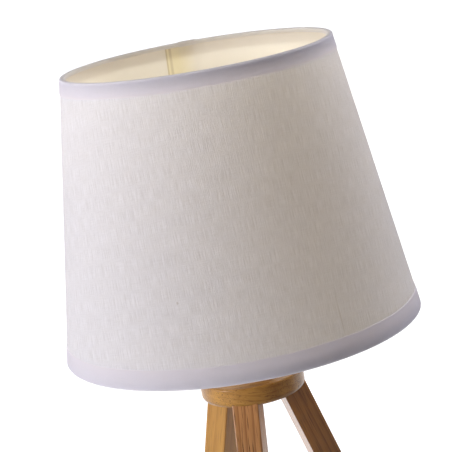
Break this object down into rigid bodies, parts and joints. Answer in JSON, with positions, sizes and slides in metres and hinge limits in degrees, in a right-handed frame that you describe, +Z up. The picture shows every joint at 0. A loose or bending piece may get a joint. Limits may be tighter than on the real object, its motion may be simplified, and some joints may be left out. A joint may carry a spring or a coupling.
{
  "type": "tripod table lamp",
  "caption": "Table lamp with a tapered fabric drum shade on an E27 lampholder, standing on splayed square wooden legs under a turned hub.",
  "frame": {"origin": "on the floor, on the lamp's own axis", "axes": "+Z up along the lamp's axis; one leg points along -Y"},
  "size_m": [0.2554, 0.2554, 0.4299],
  "materials": {
    "hub_wood": "satin varnish, close-grained turned hardwood",
    "leg_wood": "satin varnish, straight grain along each leg",
    "felt": "pressed wool felt",
    "zinc_screws": "bright zinc plate",
    "zinc_tube": "bright zinc plate",
    "white_bush": "moulded, satin",
    "white_lampholder": "moulded thermoplastic, satin",
    "insulator": "glazed ceramic look",
    "brass_shell": "drawn sheet",
    "brass_contacts": "stamped sheet and bar",
    "white_rings": "moulded thermoplastic, satin",
    "white_wire": "white powder coat",
    "shade_cotton": "plain-woven cotton with fine slubs",
    "liner_film": "smooth cream film",
    "hem_cotton": "folded cotton tape",
    "bulb_tip_metal": "tinned contact",
    "bulb_insulator": "black glassy insulator",
    "bulb_cap_metal": "rolled thread, bright nickel",
    "bulb_plastic": "white moulded plastic",
    "led_board": "white coated board",
    "bulb_diffuser": "frosted diffuser"
  },
  "bodies": {
    "base": {"hub": "hub_wood", "front_leg": "leg_wood", "right_leg": "leg_wood", "left_leg": "leg_wood", "front_foot_pad": "felt", "right_foot_pad": "felt", "left_foot_pad": "felt", "leg_screws": "zinc_screws", "threaded_tube": "zinc_tube", "tube_washer": "zinc_tube", "tube_nut": "zinc_tube", "cable_bush": "white_bush", "lampholder_cap": "white_lampholder", "lampholder_sleeve": "white_lampholder", "lampholder_insert": "insulator", "screw_shell": "brass_shell", "centre_contact": "brass_contacts", "terminal_blocks": "brass_contacts", "terminal_screws": "zinc_screws"},
    "lower_ring": {"lower_shade_ring": "white_rings"},
    "upper_ring": {"upper_shade_ring": "white_rings"},
    "shade": {"shade_fitter": "white_wire", "fitter_arms": "white_wire", "shade_fabric": "shade_cotton", "shade_liner": "liner_film", "upper_rim_wire": "white_wire", "lower_rim_wire": "white_wire", "top_hem_tape": "hem_cotton", "bottom_hem_tape": "hem_cotton"},
    "bulb_foot": {"bulb_tip": "bulb_tip_metal", "bulb_insulator": "bulb_insulator"},
    "bulb": {"bulb_cap": "bulb_cap_metal", "bulb_collar": "bulb_plastic", "led_board": "led_board", "bulb_globe": "bulb_diffuser"}
  },
  "joints": [
    {"name": "shade_swivel", "type": "hinge", "parent": "base", "child": "shade", "pos_m": [0, 0, 0.237], "axis": [0, 0, 1], "continuous": true},
    {"name": "lower_ring_turn", "type": "hinge", "parent": "base", "child": "lower_ring", "pos_m": [0, 0, 0.2315], "axis": [0, 0, 1], "range_deg": [-640, 0]},
    {"name": "upper_ring_turn", "type": "hinge", "parent": "base", "child": "upper_ring", "pos_m": [0, 0, 0.2426], "axis": [0, 0, 1], "range_deg": [0, 1800]},
    {"name": "bulb_rise", "type": "slide", "parent": "base", "child": "bulb_foot", "axis": [0, 0, 1], "range_m": [0, 0.0091]},
    {"name": "bulb_turn", "type": "hinge", "parent": "bulb_foot", "child": "bulb", "pos_m": [0, 0, 0.253], "axis": [0, 0, 1], "range_deg": [0, 900]}
  ],
  "couplings": [
    {"joint": "bulb_rise", "follows": "bulb_turn", "m_per_rad": 0.00057773}
  ]
}
